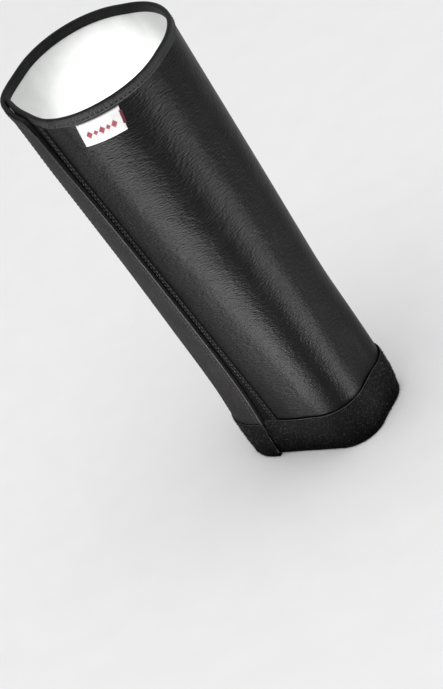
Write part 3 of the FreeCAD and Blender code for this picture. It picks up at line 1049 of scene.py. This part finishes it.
def make_label():
    """Satin label with a small woven motif, sewn along its lower edge and its two ends."""
    grid = Grid()
    rim = 0.012
    steps = spaced(0.0, 1.0, 30)
    columns, uvs = [], []
    for across in [0.0] + [mix(rim, 1 - rim, step) for step in steps] + [1.0]:
        column, places = [], []
        for up in [0.0] + [mix(rim, 1 - rim, step) for step in steps[::2]] + [1.0]:
            edge = across in (0.0, 1.0) or up in (0.0, 1.0)
            column.append(label_place(across, up, SKIN_FACE if edge else LABEL_FACE))
            places.append((across * LABEL_WIDTH, up * LABEL_HEIGHT))
        columns.append(column)
        uvs.append(places)
    grid.add(columns, uvs)
    piece = grid.piece("label_cloth", LABEL)
    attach(piece, "front_right")
    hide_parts("label")
    parts = [make_motif(), *make_label_seam(), make_bar_tack()]


def label_normal(share_across):
    return Arc("front_right", mix(*LABEL_SPAN, share_across)).core(LENGTH)[1]


def make_motif():
    """A row of small woven diamonds, in shares of the label's width and height."""
    points, faces, uvs = [], [], []
    centre_up = 0.45
    lines = 6
    for number in range(5):
        middle = mix(0.2, 0.78, number / 4)
        half_width = 0.05 if number % 2 else 0.068
        half_height = 0.13 if number % 2 else 0.19
        out = label_normal(middle)
        for line in range(-lines, lines + 1):
            share = middle + half_width * line / lines
            reach = half_height * (1 - abs(line) / (lines + 0.5))
            upper = label_place(share, centre_up + reach, LABEL_FACE)
            lower = label_place(share, centre_up - reach, LABEL_FACE)
            along = (upper - lower).normalized()
            across = out.cross(along).normalized()
            capsule(points, faces, uvs, label_place(share, centre_up, LABEL_FACE), along, across, out,
                    (upper - lower).length, 0.36 * MM, 0.09 * MM)
    piece = new_piece("label_motif", points, faces, uvs, RED_THREAD)
    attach(piece, "front_right")
    return piece


def make_label_seam():
    """White stitches just inside the label's lower edge and its left end."""
    side, bottom = 0.03, 0.06
    lower = [(label_place(share, bottom, LABEL_FACE), label_normal(share))
             for share in spaced(side, 1 - side, 30)]
    left = [(label_place(side, share, LABEL_FACE), label_normal(side)) for share in spaced(bottom, 0.98, 12)]
    rows = []
    for name, path in (("lower", lower), ("left", left)):
        rows.append(stitches(f"label_seam_{name}", path, LABEL_THREAD, pitch=2.2 * MM, length=1.6 * MM,
                             width=0.28 * MM, rise=0.1 * MM))
        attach(rows[-1], "front_right")
    return rows


def make_bar_tack():
    """Dense satin stitches over the label's right end."""
    points, faces, uvs = [], [], []
    for share_up in spaced(0.8, 0.28, 26):
        left = label_place(0.965, share_up, 1.9 * MM)
        right = label_place(1.035, share_up - 0.01, 1.6 * MM)
        out = direction(LABEL_SPAN[1])
        along = (right - left).normalized()
        across = out.cross(along).normalized()
        capsule(points, faces, uvs, (left + right) / 2, along, across, out, (right - left).length,
                0.42 * MM, 0.2 * MM)
    piece = new_piece("label_tack", points, faces, uvs, TACK_THREAD)
    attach(piece, "front_right")
    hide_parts("label_bar_tack")
    return piece


def finish_stays():
    """Gives the metal stays, which keep their CAD shape, their material."""
    for side in ("right", "back", "left"):
        slots = frame["nodes"][f"stay_{side}"].data.materials
        slots.clear()
        slots.append(METAL)


# ---- Floor, lights and camera ----
# Metres and degrees. PANEL_LIMITS are where a row's panels begin and end, from its
# foot. The camera aims at a share of the height, moved right and down in its view.
FLOOR_HALF = 6.0
WORLD_STRENGTH = 0.62
OVERHEAD_AWAY = 2.6
SPOT_AWAY = 1.6
PANEL_HEIGHT = 4 * MM
PANEL_LIMITS = (0.02, 0.06, 0.13, 0.25, 0.42, 0.66)
CAMERA_AZIMUTH = 43.56
CAMERA_ELEVATION = 31.57
CAMERA_ROLL = 31.75
CAMERA_AWAY = 2.085
CAMERA_LENS = 174.8
AIM_SHARE = 0.49
AIM_RIGHT = 0.0117
AIM_DOWN = 0.0569


def make_floor():
    mesh = bpy.data.meshes.new("floor")
    corners = [(x * FLOOR_HALF, y * FLOOR_HALF, 0) for x, y in ((-1, -1), (1, -1), (1, 1), (-1, 1))]
    mesh.from_pydata(corners, [], [(0, 1, 2, 3)])
    mesh.materials.append(floor_material())
    floor = new_object("floor", mesh)


def round_direction(azimuth, elevation):
    """Unit vector towards a place round the object; azimuth 0 is the -Y side."""
    turn, rise = math.radians(azimuth), math.radians(elevation)
    return Vector((math.sin(turn) * math.cos(rise), -math.cos(turn) * math.cos(rise), math.sin(rise)))


def area_light(name, location, towards, width, height, radiance):
    """A soft panel that shines along a direction, hidden from the camera."""
    light = bpy.data.lights.new(name, "AREA")
    light.shape = "RECTANGLE"
    light.size = width
    light.size_y = height
    light.energy = radiance * math.pi * width * height
    lamp = new_object(name, light)
    lamp.location = location
    lamp.rotation_euler = (-towards).to_track_quat("Z", "Y").to_euler()
    lamp.visible_camera = False
    return lamp


def floor_panels(name, foot, azimuth, spread, radiance, near_width=0.0, reach=PANEL_LIMITS[-1]):
    """Panels on the floor in a widening row that runs away from the object, up to a reach.

    A wall seen from above mirrors the floor, so its highlights come from here."""
    outwards = round_direction(azimuth, 0)
    for number, (near, far) in enumerate(zip(PANEL_LIMITS, PANEL_LIMITS[1:])):
        if far > reach:
            break
        middle = (near + far) / 2
        width = near_width + 2 * math.tan(math.radians(spread / 2)) * middle
        spot = Vector((*foot, PANEL_HEIGHT)) + outwards * middle
        lamp = area_light(f"{name}_{number}", spot, Vector((0, 0, 1)), width, far - near, radiance)
        lamp.rotation_euler = (math.pi, 0, math.radians(azimuth))


def make_lights():
    """A pale world, a panel overhead, rows of them on the floor and a spot into the mouth."""
    world = bpy.data.worlds.new("studio")
    bpy.context.scene.world = world
    world.use_nodes = True
    sky = world.node_tree.nodes["Background"].inputs
    sky["Color"].default_value = (1, 1, 1, 1)
    sky["Strength"].default_value = WORLD_STRENGTH
    middle = Vector((LEAN_X / 2, LEAN_Y / 2, LENGTH / 2))
    above = round_direction(20, 80)
    area_light("overhead", middle + above * OVERHEAD_AWAY, -above, width=2.6, height=2.6, radiance=1.8)
    floor_panels("front_panel", (0.021, -0.045), azimuth=-7, spread=53, radiance=18.4, near_width=0.01)
    floor_panels("right_panel", (0.045, -0.02), azimuth=103, spread=34, radiance=16.0)
    # narrow and short, so that the edge of the wall, seen from in front, doesn't mirror it
    floor_panels("back_panel", (-0.03, 0.035), azimuth=223, spread=20, radiance=14.0, near_width=0.01,
                 reach=0.42)
    mouth = Vector((LEAN_X, LEAN_Y, LENGTH))
    into_mouth = round_direction(30, 62)
    light = bpy.data.lights.new("into_mouth", "SPOT")
    light.energy = 260
    light.spot_size = math.radians(3.5)
    light.spot_blend = 0.75
    light.shadow_soft_size = 0.002
    lamp = new_object("into_mouth", light)
    lamp.location = mouth + into_mouth * SPOT_AWAY
    lamp.rotation_euler = into_mouth.to_track_quat("Z", "Y").to_euler()


def make_camera():
    """A long lens from above the right front corner, rolled so the tube leans."""
    azimuth = math.radians(CAMERA_AZIMUTH)
    roll = math.radians(CAMERA_ROLL)
    back = round_direction(CAMERA_AZIMUTH, CAMERA_ELEVATION)
    level = Vector((math.cos(azimuth), math.sin(azimuth), 0))
    above = back.cross(level)
    right = level * math.cos(roll) - above * math.sin(roll)
    up = level * math.sin(roll) + above * math.cos(roll)
    aim = Vector((LEAN_X, LEAN_Y, AIM_SHARE * LENGTH)) + right * AIM_RIGHT - up * AIM_DOWN
    data = bpy.data.cameras.new("camera")
    data.lens = CAMERA_LENS
    data.sensor_width = 36
    camera = new_object("camera", data)
    rotation = Matrix((right, up, back)).transposed().to_4x4()
    camera.matrix_world = Matrix.Translation(aim + back * CAMERA_AWAY) @ rotation
    bpy.context.scene.camera = camera


bpy.context.scene.view_settings.view_transform = "Standard"
make_camera()
make_floor()
make_lights()
make_sheet()
make_mouth_binding()
make_base_band()
make_flap_tape()
make_loop_strip()
make_inner_tape()
make_hook_strip()
make_label()
finish_stays()
